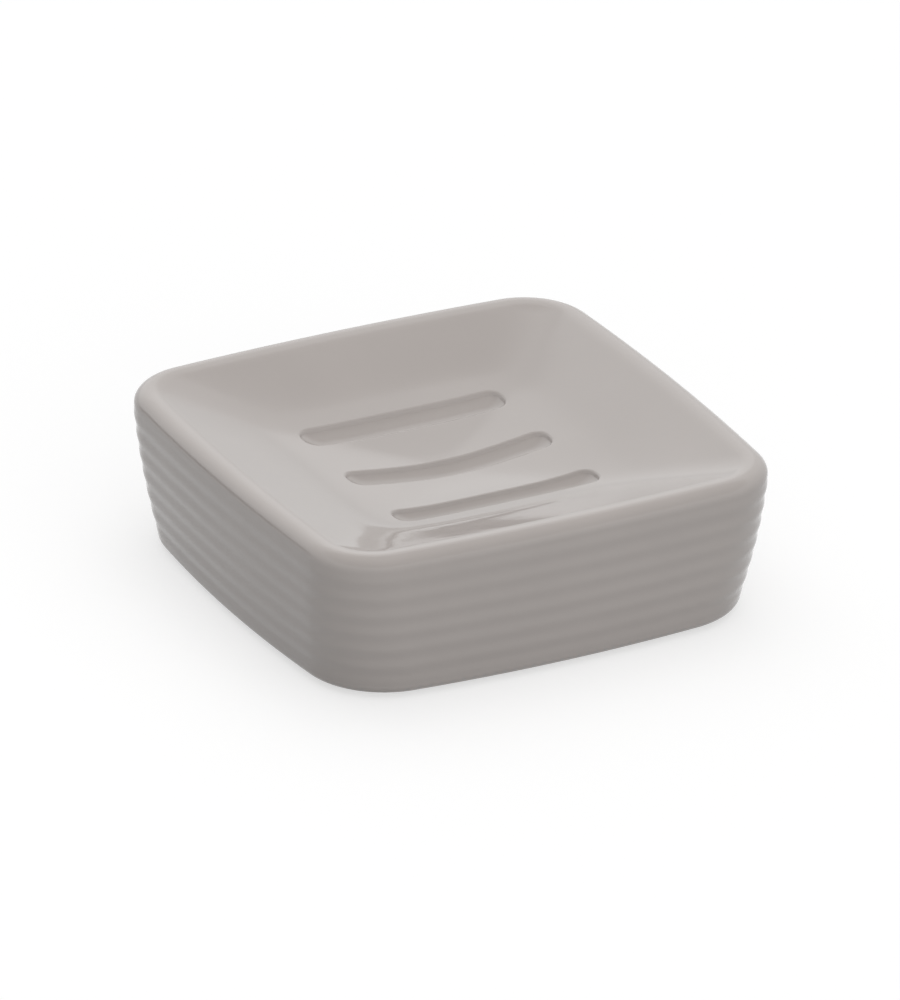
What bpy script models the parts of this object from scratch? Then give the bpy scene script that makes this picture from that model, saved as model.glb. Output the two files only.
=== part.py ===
"""A square soap dish in glazed ceramic.

The hollow body is one slip casting: a dished top with three blind drain grooves, soft rings round
the sides, and a closed base with a foot ring. A soft plug closes the casting hole in the base, and
four non-slip feet stand in the recess inside the foot ring.

Metres, +Z up. The origin is on the surface that the feet stand on, under the middle of the dish.
X runs along the grooves, and -Y is the front.
"""

import math

import bmesh
import bpy
from mathutils import Vector
from mathutils.bvhtree import BVHTree

# Outside of the body
WIDTH = 0.110  # along X at the rim, from middle of side to middle of side
DEPTH = 0.110  # along Y at the rim
BODY_HEIGHT = 0.0336  # from the foot ring to the crest of the rim
RIM_CORNER_RADIUS = 0.0157
BASE_CORNER_RADIUS = 0.0186
RIM_BOW = 0.0012  # how far the middle of a side stands out past its ends, at the rim
BASE_BOW = 0.0016  # the same at the base
SIDE_TAPER = 0.0028  # how far each side draws in between the roundings at rim and base
SIDE_SWELL = 0.0005  # how far a side swells past a straight taper at half height
RIM_OUTER_ROUND = 0.0034
RIM_INNER_ROUND = 0.0085
BASE_ROUND = 0.0022

# Rings round the sides
RIM_BAND = 0.0053  # from the crest of the rim down to the first ring's crest
RING_PITCH = 0.00427
RING_DEPTH = 0.0003  # valley below crest

# Dish and its drain grooves
FLOOR_SLOPE = 0.125  # how steeply the dish's floor rises from its middle
FLOOR_ROUND = 0.0050  # how far the middle of the floor is rounded off
FLOOR_REACH = 0.0308  # from the middle of the dish to the foot of its wall
WALL_SLOPE = 0.354  # how steeply the dish's wall rises to the rim
WALL_BLEND = 0.0030  # softness of the turn from floor to wall
DISH_SQUARENESS = 4.7  # 2 is round towards the middle, and more is squarer
GROOVE_COUNT = 3
GROOVE_PITCH = 0.0213
GROOVE_LENGTH = 0.0480
GROOVE_WIDTH = 0.0072
GROOVE_DEPTH = 0.0021
GROOVE_CORNER_RADIUS = 0.0020  # seen from above
GROOVE_SQUARENESS = 2.0  # of its section: 2 is an ellipse, and more has steeper walls

# Hollow inside the casting
SIDE_WALL = 0.0050
FLOOR_WALL = 0.0035  # left under the grooves
BASE_WALL = 0.0050

# Base: foot ring, casting hole, plug and feet
FOOT_RING_WIDTH = 0.0060
RECESS_DEPTH = 0.0012
HOLE_DIAMETER = 0.0140
PLUG_FLANGE_WIDTH = 0.0030  # how far the flange covers the base round the hole
PLUG_FLANGE_THICKNESS = 0.0010
PLUG_WALL = 0.0015
PLUG_BEAD = 0.0004  # how far the bead stands out past the hole's wall
PLUG_BEAD_HEIGHT = 0.0020
PLUG_NOSE_HEIGHT = 0.0010
FOOT_DIAMETER = 0.0100
FOOT_STAND = 0.0010  # how far the feet hold the foot ring off the surface
FOOT_EDGE_ROUND = 0.0006
FOOT_MARGIN = 0.0020  # from a foot to the wall of the recess
SEAT_GAP = 0.0003  # between pieces that touch

# How finely curves are drawn
CORNER_STEPS = 8
SIDE_STEPS = 6
DISH_RINGS = 12
CEILING_RINGS = 6
ROUND_STEPS = 4
STEPS_PER_RING = 4
GROOVE_END_STEPS = 5
GROOVE_RUN_STEPS = 8
GROOVE_ARC_STEPS = 8
TURN_STEPS = 28
GROOVE_TIP = math.radians(9)  # how far round a groove's section, and its end, the first points stand
SHARP_ANGLE = math.radians(40)  # edges that turn more than this are shaded sharp
MERGE_DISTANCE = 0.00001
LEAN_PASSES = 12  # rounds of working out how far the sides lean into the corners

# Heights worked out from the sizes above
CREST_Z = FOOT_STAND + BODY_HEIGHT
RECESS_Z = FOOT_STAND + RECESS_DEPTH
CAVITY_FLOOR_Z = RECESS_Z + BASE_WALL
CUTTER_OVERRUN = 0.0030  # how far a cutter runs past the face that it opens

GLAZE = ((0.490, 0.464, 0.436), 0.22)
PLUG_PLASTIC = ((0.62, 0.61, 0.58), 0.45)
FOOT_RUBBER = ((0.30, 0.30, 0.29), 0.60)


def blend(start, end, share):
    return start + (end - start) * share


def spread(start, end, steps):
    """Evenly spaced values from start to end, both included."""
    return [blend(start, end, step / steps) for step in range(steps + 1)]


def outline(half_x, half_y, corner, bow):
    """Points round a rectangle whose sides are bowed arcs that run tangent into its corner arcs."""
    lean_x = lean_y = 0.0
    for _ in range(LEAN_PASSES):
        lean_x, lean_y = (
            2 * math.atan2(bow, half_y - bow - corner * (math.cos(lean_y) - math.sin(lean_x))),
            2 * math.atan2(bow, half_x - bow - corner * (math.cos(lean_x) - math.sin(lean_y))),
        )
    side_x = bow / (1 - math.cos(lean_x))
    side_y = bow / (1 - math.cos(lean_y))
    corner_x = half_x - bow - corner * math.cos(lean_x)
    corner_y = half_y - bow - corner * math.cos(lean_y)
    points = []
    for turn, sign_x, sign_y in ((0, 1, 1), (1, -1, 1), (2, -1, -1), (3, 1, -1)):
        first, last = (lean_x, lean_y) if turn % 2 == 0 else (lean_y, lean_x)
        quarter = turn * math.pi / 2
        next_axis = quarter + math.pi / 2
        for angle in spread(quarter + first, next_axis - last, CORNER_STEPS)[:-1]:
            points.append(
                (
                    sign_x * corner_x + corner * math.cos(angle),
                    sign_y * corner_y + corner * math.sin(angle),
                )
            )
        radius, half = (side_y, half_y) if turn % 2 == 0 else (side_x, half_x)
        for angle in spread(next_axis - last, next_axis + last, SIDE_STEPS)[:-1]:
            points.append(
                (
                    (half - radius) * math.cos(next_axis) + radius * math.cos(angle),
                    (half - radius) * math.sin(next_axis) + radius * math.sin(angle),
                )
            )
    return points


def section(drop, inset=0.0):
    """The body's outline at a drop below the crest of the rim, drawn in by inset."""
    straight = BODY_HEIGHT - RIM_OUTER_ROUND - BASE_ROUND
    share = min(max((drop - RIM_OUTER_ROUND) / straight, 0), 1)
    drawn_in = SIDE_TAPER * share - 4 * SIDE_SWELL * share * (1 - share) + inset
    corner = blend(RIM_CORNER_RADIUS, BASE_CORNER_RADIUS, share) - inset
    return outline(WIDTH / 2 - drawn_in, DEPTH / 2 - drawn_in, corner, blend(RIM_BOW, BASE_BOW, share))


def level(points, z):
    return [Vector((x, y, z)) for x, y in points]


def rise(out):
    """Height over the middle of the dish: a shallow floor that turns up into a steeper wall."""
    floor = FLOOR_SLOPE * (math.hypot(out, FLOOR_ROUND) - FLOOR_ROUND)
    turn = math.hypot(out - FLOOR_REACH, WALL_BLEND) - math.hypot(FLOOR_REACH, WALL_BLEND)
    return floor + (WALL_SLOPE - FLOOR_SLOPE) * (turn + out) / 2


def bowl(rim, middle_z, rings):
    """Loops of a bowl from its middle out to a rim, where they take the rim's own shape."""
    half_x = max(x for x, _ in rim)
    half_y = max(y for _, y in rim)
    loops = [[Vector((0, 0, middle_z))]]
    for reach in spread(0, 1, rings)[1:]:
        z = middle_z + rise(reach * min(half_x, half_y))
        loop = []
        for x, y in rim:
            norm = abs(x / half_x) ** DISH_SQUARENESS + abs(y / half_y) ** DISH_SQUARENESS
            scale = reach * blend(norm ** (-1 / DISH_SQUARENESS), 1, reach * reach)
            loop.append(Vector((scale * x, scale * y, z)))
        loops.append(loop)
    return loops


def dish_rim():
    """Inset and drop, from the rim's crest, of the line where the dish runs into the inner rounding."""
    slope = math.atan(WALL_SLOPE)
    inset = RIM_OUTER_ROUND + RIM_INNER_ROUND * math.sin(slope)
    return inset, RIM_INNER_ROUND * (1 - math.cos(slope))


def dish_middle_z():
    inset, drop = dish_rim()
    return CREST_Z - drop - rise(min(WIDTH, DEPTH) / 2 - inset)


def dish_loops():
    return bowl(section(0, dish_rim()[0]), dish_middle_z(), DISH_RINGS)


def rim_loops():
    """From the inner rounding, over the crest, to the foot of the outer rounding."""
    loops = []
    for angle in spread(math.atan(WALL_SLOPE), 0, ROUND_STEPS)[1:]:
        inset = RIM_OUTER_ROUND + RIM_INNER_ROUND * math.sin(angle)
        drop = RIM_INNER_ROUND * (1 - math.cos(angle))
        loops.append(level(section(0, inset), CREST_Z - drop))
    for angle in spread(0, math.pi / 2, ROUND_STEPS)[1:]:
        drop = RIM_OUTER_ROUND * (1 - math.cos(angle))
        inset = RIM_OUTER_ROUND * (1 - math.sin(angle))
        loops.append(level(section(drop, inset), CREST_Z - drop))
    return loops


def side_loops():
    """Down the side: a plain band, the rings, and the rounding into the base."""
    ringed = BODY_HEIGHT - BASE_ROUND - RIM_BAND
    ring_count = int(ringed / RING_PITCH)
    loops = []
    for step in range(ring_count * STEPS_PER_RING + 1):
        turn = step / STEPS_PER_RING
        drop = RIM_BAND + turn * RING_PITCH
        valley = RING_DEPTH * (1 - math.cos(2 * math.pi * turn)) / 2
        loops.append(level(section(drop, valley), CREST_Z - drop))
    for angle in spread(0, math.pi / 2, ROUND_STEPS):
        drop = BODY_HEIGHT - BASE_ROUND * (1 - math.sin(angle))
        inset = BASE_ROUND * (1 - math.cos(angle))
        loops.append(level(section(drop, inset), CREST_Z - drop))
    return loops


def loft(name, loops, collection):
    """A closed mesh through loops of equal length. A loop of one point closes an end as a fan."""
    mesh = bmesh.new()
    rows = [[mesh.verts.new(point) for point in loop] for loop in loops]
    for first, second in zip(rows, rows[1:]):
        for i in range(len(second)):
            j = (i + 1) % len(second)
            if len(first) == 1:
                mesh.faces.new((first[0], second[j], second[i]))
            else:
                mesh.faces.new((first[i], first[j], second[j], second[i]))
    for row in (rows[0], rows[-1]):
        if len(row) > 1:
            mesh.faces.new(row)
    bmesh.ops.recalc_face_normals(mesh, faces=mesh.faces)
    return add_object(name, mesh, collection)


def add_object(name, mesh, collection):
    data = bpy.data.meshes.new(name)
    mesh.to_mesh(data)
    mesh.free()
    data.shade_smooth()
    data.set_sharp_from_angle(angle=SHARP_ANGLE)
    obj = bpy.data.objects.new(name, data)
    collection.objects.link(obj)
    return obj


def cut(body, cutter):
    """Takes the cutter out of the body, and keeps the cutter as a wire guide."""
    cutter.hide_render = True
    cutter.display_type = "WIRE"
    modifier = body.modifiers.new(cutter.name, "BOOLEAN")
    modifier.operation = "DIFFERENCE"
    modifier.solver = "EXACT"
    modifier.object = cutter


def apply_cuts(body):
    """Gives the body its cut mesh, so that the edges that the cutters left are shaded sharp."""
    cut_body = body.evaluated_get(bpy.context.evaluated_depsgraph_get())
    body.data = bpy.data.meshes.new_from_object(cut_body)
    body.modifiers.clear()
    body.data.set_sharp_from_angle(angle=SHARP_ANGLE)
    body.modifiers.new("even_shading", "WEIGHTED_NORMAL").keep_sharp = True


def groove_loops(surface, middle_y):
    """Upright sections along a groove that keeps its depth below the curved dish."""
    widest = GROOVE_WIDTH / 2
    power = 2 / GROOVE_SQUARENESS
    left_end = []
    for angle in spread(GROOVE_TIP, math.pi / 2, GROOVE_END_STEPS):
        run_in = widest * (1 - math.cos(angle))
        corner = max(GROOVE_CORNER_RADIUS - run_in, 0)
        half = widest - GROOVE_CORNER_RADIUS + math.sqrt(GROOVE_CORNER_RADIUS**2 - corner**2)
        left_end.append((run_in - GROOVE_LENGTH / 2, half, GROOVE_DEPTH * math.sin(angle) ** power))
    straight = GROOVE_LENGTH / 2 - widest
    run = [(x, widest, GROOVE_DEPTH) for x in spread(-straight, straight, GROOVE_RUN_STEPS)[1:-1]]
    right_end = [(-x, half, depth) for x, half, depth in reversed(left_end)]
    loops = []
    for x, half, depth in left_end + run + right_end:
        loop = []
        for angle in spread(GROOVE_TIP, math.pi - GROOVE_TIP, GROOVE_ARC_STEPS):
            reach = math.copysign(abs(math.cos(angle)) ** power, -math.cos(angle))
            y = middle_y + half * reach
            dish = surface.ray_cast(Vector((x, y, CREST_Z)), Vector((0, 0, -1)))[0]
            loop.append(Vector((x, y, dish.z - depth * math.sin(angle) ** power)))
        lift = Vector((0, 0, depth + CUTTER_OVERRUN))
        loops.append([loop[0] + lift, *loop, loop[-1] + lift])
    return loops


def cavity_loops():
    """The hollow left by the poured-off slip: a flat floor, and a ceiling that follows the dish."""
    thickness = GROOVE_DEPTH + FLOOR_WALL
    floor_drop = CREST_Z - CAVITY_FLOOR_Z
    loops = bowl(section(thickness, SIDE_WALL), dish_middle_z() - thickness, CEILING_RINGS)
    loops.append(level(section(floor_drop, SIDE_WALL), CAVITY_FLOOR_Z))
    return loops


def recess_corner():
    """Inset of the recess from the body's outline, and its corner arc's radius and middle."""
    inset = BASE_ROUND + FOOT_RING_WIDTH
    radius = BASE_CORNER_RADIUS - inset
    middle_x = WIDTH / 2 - SIDE_TAPER - inset - BASE_BOW - radius
    middle_y = DEPTH / 2 - SIDE_TAPER - inset - BASE_BOW - radius
    return inset, radius, middle_x, middle_y


def turned(name, profile, collection):
    """A solid of revolution from (radius, height) points that run down its outer side."""
    mesh = bmesh.new()
    points = [mesh.verts.new((radius, 0, z)) for radius, z in profile]
    for first, second in zip(points, points[1:]):
        mesh.edges.new((first, second))
    obj = add_object(name, mesh, collection)
    screw = obj.modifiers.new("turn", "SCREW")
    screw.steps = screw.render_steps = TURN_STEPS
    screw.use_merge_vertices = True
    screw.merge_threshold = MERGE_DISTANCE
    return obj


def cylinder(name, radius, low_z, high_z, collection):
    mesh = bmesh.new()
    bmesh.ops.create_cone(
        mesh, cap_ends=True, segments=TURN_STEPS, radius1=radius, radius2=radius, depth=high_z - low_z
    )
    bmesh.ops.translate(mesh, verts=mesh.verts, vec=(0, 0, (low_z + high_z) / 2))
    return add_object(name, mesh, collection)


def material(name, finish):
    colour, roughness = finish
    made = bpy.data.materials.new(name)
    made.use_nodes = True
    shader = made.node_tree.nodes["Principled BSDF"]
    shader.inputs["Base Color"].default_value = (*colour, 1)
    shader.inputs["Roughness"].default_value = roughness
    shader.inputs["Metallic"].default_value = 0
    return made


def make_body(parts, cutters):
    body = loft("dish_body", dish_loops() + rim_loops() + side_loops(), parts)
    body.data.materials.append(material("ceramic_glaze", GLAZE))
    surface = BVHTree.FromPolygons(
        [vertex.co for vertex in body.data.vertices], [face.vertices for face in body.data.polygons]
    )
    for index in range(GROOVE_COUNT):
        middle_y = (index - (GROOVE_COUNT - 1) / 2) * GROOVE_PITCH
        cut(body, loft(f"groove_cutter_{index + 1}", groove_loops(surface, middle_y), cutters))
    cut(body, loft("cavity_cutter", cavity_loops(), cutters))
    recess = section(BODY_HEIGHT, recess_corner()[0])
    recess_faces = [level(recess, RECESS_Z), level(recess, FOOT_STAND - CUTTER_OVERRUN)]
    cut(body, loft("recess_cutter", recess_faces, cutters))
    hole_low, hole_high = RECESS_Z - CUTTER_OVERRUN, CAVITY_FLOOR_Z + CUTTER_OVERRUN
    cut(body, cylinder("hole_cutter", HOLE_DIAMETER / 2, hole_low, hole_high, cutters))
    apply_cuts(body)


def make_plug(parts):
    """A soft bung: a thin flange under the base, a hollow stem and a bead that snaps in over the wall."""
    hole = HOLE_DIAMETER / 2
    stem = hole - SEAT_GAP
    flange_top = RECESS_Z - SEAT_GAP
    bead_low = CAVITY_FLOOR_Z + SEAT_GAP
    nose_low = bead_low + PLUG_BEAD_HEIGHT
    nose_high = nose_low + PLUG_NOSE_HEIGHT
    bore = stem - PLUG_WALL
    profile = [
        (0, flange_top),
        (bore, flange_top),
        (bore, nose_high),
        (bore + PLUG_WALL / 2, nose_high),
        (stem, nose_low),
        (hole + PLUG_BEAD, blend(bead_low, nose_low, 0.5)),
        (stem, bead_low),
        (stem, flange_top),
        (hole + PLUG_FLANGE_WIDTH, flange_top),
        (hole + PLUG_FLANGE_WIDTH, flange_top - PLUG_FLANGE_THICKNESS / 2),
        (hole + PLUG_FLANGE_WIDTH - PLUG_FLANGE_THICKNESS / 2, flange_top - PLUG_FLANGE_THICKNESS),
        (0, flange_top - PLUG_FLANGE_THICKNESS),
    ]
    plug = turned("casting_hole_plug", profile, parts)
    plug.data.materials.append(material("plug_plastic", PLUG_PLASTIC))


def make_feet(parts):
    """Four round pads stuck in the corners of the recess."""
    rubber = material("foot_rubber", FOOT_RUBBER)
    radius = FOOT_DIAMETER / 2
    profile = [(0, RECESS_Z - SEAT_GAP), (radius, RECESS_Z - SEAT_GAP)]
    for angle in spread(0, math.pi / 2, ROUND_STEPS):
        edge = FOOT_EDGE_ROUND
        profile.append((radius - edge * (1 - math.cos(angle)), edge * (1 - math.sin(angle))))
    profile.append((0, 0))
    _, corner, middle_x, middle_y = recess_corner()
    reach = (corner - FOOT_MARGIN - radius) * math.cos(math.pi / 4)
    for along, sign_y in (("front", -1), ("back", 1)):
        for side, sign_x in (("left", -1), ("right", 1)):
            foot = turned(f"foot_{along}_{side}", profile, parts)
            foot.location = (sign_x * (middle_x + reach), sign_y * (middle_y + reach), 0)
            foot.data.materials.append(rubber)


def main():
    for obj in list(bpy.data.objects):
        bpy.data.objects.remove(obj)
    parts = bpy.data.collections.new("soap_dish")
    cutters = bpy.data.collections.new("cutters")
    for collection in (parts, cutters):
        bpy.context.scene.collection.children.link(collection)
    make_body(parts, cutters)
    make_plug(parts)
    make_feet(parts)


main()
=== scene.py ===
"""A square ceramic soap dish: its glazed casting, the plug and feet underneath, and a plain stage.

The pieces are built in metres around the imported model, which is loaded as the frame.
+Z is up, X runs along the drain grooves and -Y is the front.
"""

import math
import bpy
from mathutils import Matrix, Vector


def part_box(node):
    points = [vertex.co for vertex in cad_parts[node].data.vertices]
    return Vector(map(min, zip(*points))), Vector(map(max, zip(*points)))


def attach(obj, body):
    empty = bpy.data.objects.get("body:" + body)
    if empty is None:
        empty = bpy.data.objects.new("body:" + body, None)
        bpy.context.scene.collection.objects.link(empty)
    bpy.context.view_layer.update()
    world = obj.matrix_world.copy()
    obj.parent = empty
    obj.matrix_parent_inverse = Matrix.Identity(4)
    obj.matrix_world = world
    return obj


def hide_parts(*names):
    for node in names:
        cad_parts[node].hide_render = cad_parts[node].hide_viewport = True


bl_info = {
    "name": "Ceramic soap dish",
    "version": (1, 0, 0),
    "blender": (4, 5, 0),
    "location": "View3D > Sidebar > Soap Dish",
    "description": "Builds a glazed soap dish with its plug, feet and stage",
    "category": "Add Mesh",
}

import bpy
import numpy as np
from bpy.props import FloatProperty, FloatVectorProperty, IntProperty, PointerProperty
from bpy.types import Operator, Panel, PropertyGroup
from mathutils import Matrix, Vector, geometry, noise

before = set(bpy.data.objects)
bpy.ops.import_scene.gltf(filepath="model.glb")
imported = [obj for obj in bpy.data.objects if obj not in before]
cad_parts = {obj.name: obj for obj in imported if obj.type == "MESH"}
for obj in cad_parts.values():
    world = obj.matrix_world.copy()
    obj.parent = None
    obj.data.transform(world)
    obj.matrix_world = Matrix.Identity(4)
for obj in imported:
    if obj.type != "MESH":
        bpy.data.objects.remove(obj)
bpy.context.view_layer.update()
BODY_LOW, BODY_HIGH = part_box("dish_body")
PLUG_LOW, PLUG_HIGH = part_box("casting_hole_plug")
FOOT_NODES = sorted(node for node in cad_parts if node.startswith("foot_"))

PICTURE_WIDTH = 900
PICTURE_HEIGHT = 1000
SENSOR = 36.0  # millimetres along the picture's long side
CLIP_START = 0.05
CLIP_END = 60
BASE_Z = 0.001  # height of the middle of the base, which the picture places

# Soft lights in the world: azimuth and elevation in degrees, and strength
SOFT_LIGHTS = (
    (0, 90, 0.592),
    (0, 60, 0.426),
    (60, 60, 0.398),
    (120, 60, 0.654),
    (180, 60, 0.724),
    (240, 60, 0.385),
    (300, 60, 0.230),
    (0, 32, 0.617),
    (45, 32, 0.189),
    (90, 32, 0.047),
    (135, 32, 0.359),
    (180, 32, 0.439),
    (225, 32, 0.214),
    (270, 32, 0.044),
    (315, 32, 0.333),
    (0, 6, 0.796),
    (36, 6, 0.357),
    (144, 6, 0.069),
    (180, 6, 0.130),
    (288, 6, 0.058),
    (324, 6, 0.545),
)

# Cards that only reflections show: middle in metres, tilt about X in degrees, half width and half height
FLAG = ((0, -0.85, 2.0), 0, 2.7, 2.7)
LOW_FLAG = ((-2.9, 3.2, 0.25), 90, 1.7, 0.70)
REFLECTOR = ((0, 3.0, 1.5), 90, 2.6, 1.25)
CARD_CORE = 0.70  # share of a card that keeps its full shade
FLOOR_HALF = 12  # metres from the dish to the edges of the floor

# Sections of the grooves
GROOVE_EASE = 1.6  # 1 keeps the section an ellipse, and 2 makes it a parabola
GROOVE_RUN_OUT = 0.7  # length of a groove's sloping end, in groove widths
LIP_MARGINS = (1.6, 1.25)  # outlines drawn outside a lip, in lip radii
GROOVE_LAST_ANGLE = math.radians(80)  # how far down a groove's section its last outline lies
SMALLEST_CORNER = 0.00005
TINY = 1e-6  # keeps a division off zero

# Unevenness of the rings
STRAY_SCALE = 22  # swings in a metre of how far the rings stray
UNEVEN_SCALE = 2.1  # times as many for their depth
UNEVENNESS = 0.35  # share by which their depth varies

# How finely the pieces are drawn
CORNER_STEPS = 22
SIDE_STEPS = 36
LEAN_PASSES = 12  # rounds of working out how far the sides lean into the corners
REACH_PASSES = 8  # Newton steps of finding how far out a point of the dish lies
GRID_SPACING = 0.0011
MERGE_DISTANCE = 1e-7
LIP_STEPS = 7
GROOVE_WALL_STEPS = 15
GROOVE_CORNER_STEPS = 6
GROOVE_RUN_STEPS = 60
GROOVE_END_STEPS = 10
INNER_STEPS = 12
OUTER_STEPS = 18
BAND_STEPS = 7
STEPS_PER_RING = 14
BASE_STEPS = 9
EDGE_STEPS = 4
RECESS_STEPS = 6
CAVITY_STEPS = 5
CEILING_STEPS = 14
TURN_STEPS = 96
FOOT_TURN_STEPS = 64
CARD_STEPS = 64
SHARP_ANGLE = math.radians(50)

# Plug and feet
PLUG_GAP = 0.0003  # between the plug and the casting
PLUG_WALL = 0.0015
PLUG_EDGE = 0.0004  # rounding at the top of the plug and inside it
PLUG_NOSE_STEPS = 6
PLUG_BEAD = 0.0007  # how far the bead stands out from the stem
PLUG_BEAD_HEIGHT = 0.0020
PLUG_BEAD_STEPS = 10
STEM_SHARES = (0.3, 0.7, 0.95)  # heights of the stem's rings, from bead to flange
STEM_FLARE = 0.0002
FLANGE_TOP_EDGE = 0.0003
FLANGE_TOP_STEPS = 3
FLANGE_LOW_EDGE = 0.0006
FLANGE_LOW_STEPS = 6
# Underside of the plug: radius, and height over its lowest face
PLUG_DIMPLE = ((0.0050, 0), (0.0046, 0.0001), (0.0040, 0.0003), (0.0020, 0.0003), (0, 0.0003))
FOOT_EDGE = 0.0006
FOOT_EDGE_STEPS = 8
FOOT_TOP_EDGE = 0.0002
FOOT_DIMPLE = ((0.55, 0), (0.50, 0.0001), (0, 0.00018))  # share of the foot's radius, and height

# Glaze: where it thins, the painted highlight along the rim's crest, where it ends over the bare foot ring,
# and its speckles
CREST_HIGHLIGHT_BAND = 0.0010  # band of the painted highlight below the crest of the rim
# How much of the lighter tone the painted highlight on the rim's crest takes
CREST_HIGHLIGHT_SHARE = 0.5
CLOUD_THINNING = 0.35
CLOUD_EDGES = (0.35, 0.75)
GLAZE_END_HEIGHTS = (0.0007, 0.0003)  # over the foot ring: glazed above the first, bare below the second
GLAZE_END_REACHES = (0.040, 0.044)  # from the middle: glazed up to the first, bare from the second
SPECKLE_EDGES = (0.66, 0.80)
SPECKLE_SHARE = 0.18
SPECKLE_SHADE = 0.82  # of the glaze's tone
CLAY_EDGES = (0.40, 0.62)
CLAY_SHADE = 0.88  # of the clay's tone
CLAY_GRAIN = 0.00003
CLAY_ROUGHNESS = 0.6  # over that of the glaze
CLOUD_ROUGHNESS = 0.05
GLAZE_IOR = 1.5

# Looks of the plug and the feet
PLUG_GRAIN = 0.00004
HAZE_EDGES = (0.3, 0.7)
PLUG_SHADE = 0.93
PLUG_ROUGHNESS = (0.40, 0.14)  # everywhere, and what the haze adds
PLUG_GLOW_REACH = 0.002  # how far light spreads in the plug
PLUG_GLOW_SHARE = 0.05
RUBBER_GRAIN = 0.00006
RUBBER_ROUGHNESS = (0.58, 0.18)  # everywhere, and what the dust adds
DUST_EDGES = (0.45, 0.75)
DUST_SHARE = 0.5
DUST_SHADE = 1.35  # of the rubber's tone


def length(name, description, default):
    return FloatProperty(
        name=name, description=description, default=default, min=0, unit="LENGTH", precision=5
    )


def degrees(name, description, default):
    return FloatProperty(name=name, description=description, default=math.radians(default), subtype="ANGLE")


def factor(name, description, default, low=0.0, high=1.0):
    return FloatProperty(name=name, description=description, default=default, min=low, max=high)


def colour(name, description, default):
    return FloatVectorProperty(
        name=name, description=description, default=default, size=3, min=0, max=1, subtype="COLOR"
    )


class CastingSizes(PropertyGroup):
    """Sizes of the ceramic casting."""

    width: length("Width", "Across the rim along X", BODY_HIGH.x - BODY_LOW.x)
    depth: length("Depth", "Across the rim along Y", BODY_HIGH.y - BODY_LOW.y)
    foot_z: length("Foot ring", "Height of the foot ring above the surface", BODY_LOW.z)
    crest_z: length("Crest", "Height of the rim above the surface", BODY_HIGH.z)
    rim_corner: length("Rim corner", "Corner radius at the rim", 0.0157)
    base_corner: length("Base corner", "Corner radius at the base", 0.0186)
    rim_bow: length("Rim bow", "How far the middle of a side stands out at the rim", 0.0012)
    base_bow: length("Base bow", "How far the middle of a side stands out at the base", 0.0016)
    taper: length("Taper", "How far each side draws in towards the base", 0.0028)
    swell: length("Swell", "How far a side swells past a straight taper", 0.0005)
    rim_outer: length("Outer rounding", "Radius of the rim's outer rounding", 0.0034)
    rim_inner: length("Inner rounding", "Radius of the rim's inner rounding", 0.0085)
    base_round: length("Base rounding", "Radius between side and foot ring", 0.0022)
    band: length("Plain band", "From the crest of the rim down to the first ring", 0.0053)
    ring_pitch: length("Ring pitch", "From one ring to the next", 0.00427)
    ring_depth: length("Ring depth", "From the crest of a ring to its valley", 0.00017)
    ring_start: length("Ring start", "From the crest of the rim down to where the rings set in", 0.0016)
    ring_wander: length("Ring wander", "How far the rings stray up and down", 0.0003)
    floor_slope: factor("Floor slope", "How steeply the dish's floor rises from its middle", 0.160)
    floor_round: length("Floor rounding", "How far the middle of the floor is rounded off", 0.0120)
    floor_reach: length("Floor reach", "From the middle of the dish to the foot of its wall", 0.0308)
    wall_slope: factor("Wall slope", "How steeply the dish's wall rises to the rim", 0.354)
    wall_blend: length("Wall blend", "Softness of the turn from floor to wall", 0.0030)
    well_squareness: factor("Dish squareness", "2 is round in the middle, and more is squarer", 4.7, 2, 12)
    foot_ring: length("Foot ring width", "Width of the unglazed ring that a bare dish stands on", 0.0060)
    recess: length("Recess", "Depth of the recess inside the foot ring", 0.0012)
    edge_round: length("Edge rounding", "Radius of the small edges underneath", 0.0004)
    hole: length("Casting hole", "Diameter of the hole in the base", 0.0140)
    side_wall: length("Side wall", "Thickness of the side wall", 0.0050)
    floor_wall: length("Floor wall", "Thickness left under the grooves", 0.0035)
    base_wall: length("Base wall", "Thickness of the base", 0.0050)


class GrooveSizes(PropertyGroup):
    """Sizes of the drain grooves in the dish."""

    count: IntProperty(name="Count", description="Number of drain grooves", default=3, min=0, max=5)
    pitch: length("Pitch", "From one groove to the next", 0.0213)
    length: length("Length", "Length between the tops of the walls", 0.0472)
    width: length("Width", "Width between the tops of the walls", 0.0066)
    depth: length("Depth", "Depth below the dish", 0.0021)
    corner: length("Corner", "Corner radius, seen from above", 0.0026)
    lip: length("Lip", "Radius of the rounded lip", 0.0008)
    squareness: factor("Squareness", "2 is an ellipse, and more has steeper walls", 2.0, 2, 8)


class GlazeLooks(PropertyGroup):
    """Colours and surface of the glaze and the bare clay."""

    tone: colour("Glaze", "Warm grey of the glaze", (0.512, 0.470, 0.447))
    # The lighter tone serves random clouds where the glaze runs thin, and the painted highlight along the
    # rim's crest
    thin_glaze_and_highlight_tone: colour("Thin glaze", "Where the glaze runs thin over ridges and rims", (0.548, 0.503, 0.478))
    clay: colour("Bare clay", "Unglazed foot ring", (0.66, 0.61, 0.55))
    roughness: factor("Roughness", "Roughness of the glaze", 0.03)
    ripple: length("Ripple", "Height of the slow ripples in the glaze", 0.00004)


class FittingLooks(PropertyGroup):
    """Colours of the plug and feet."""

    plug: colour("Plug", "Soft moulded plug", (0.62, 0.61, 0.58))
    rubber: colour("Rubber", "Non-slip feet", (0.30, 0.30, 0.29))


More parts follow.
